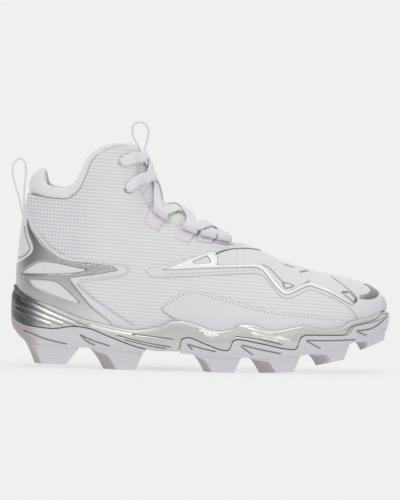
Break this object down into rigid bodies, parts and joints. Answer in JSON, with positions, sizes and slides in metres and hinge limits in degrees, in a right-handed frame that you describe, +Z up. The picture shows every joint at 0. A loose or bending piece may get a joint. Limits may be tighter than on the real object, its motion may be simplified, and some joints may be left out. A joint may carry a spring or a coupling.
{
  "type": "baseball cleat",
  "caption": "Right-foot mid-cut baseball cleat: hollow textile upper, padded cuff and tongue, lacing, silver cup midsole and moulded rubber studs.",
  "frame": {"origin": "on the floor under the middle of the shoe's box", "axes": "+X to the toe, +Y to the medial (inner) side, +Z up"},
  "size_m": [0.3051, 0.1048, 0.198],
  "materials": {
    "pale_rubber": "matte, fine ribs",
    "silver_midsole": "satin silver coating on foam",
    "silver_skin": "satin silver film",
    "white_skin": "satin, moulded",
    "white_textile": "ribbed weave",
    "lining": "knitted",
    "lace_white": "woven"
  },
  "bodies": {
    "root": {"outsole_heel": "pale_rubber", "outsole_forefoot": "pale_rubber", "midsole": "silver_midsole", "insole": "lining", "upper": "white_textile", "heel_counter_skin": "silver_skin", "vamp_skin": "white_skin", "toe_bumper": "pale_rubber", "vamp_trim_lateral": "silver_skin", "vamp_trim_medial": "silver_skin", "tongue": "white_textile", "collar_cuff": "lining", "laces": "lace_white", "lace_loop_lateral_1": "lace_white", "lace_loop_lateral_2": "lace_white", "lace_loop_lateral_3": "lace_white", "lace_loop_lateral_4": "lace_white", "lace_loop_medial_1": "lace_white", "lace_loop_medial_2": "lace_white", "lace_loop_medial_3": "lace_white", "lace_loop_medial_4": "lace_white", "heel_pull_loop": "lace_white", "tongue_pull_loop": "lace_white"}
  },
  "joints": []
}
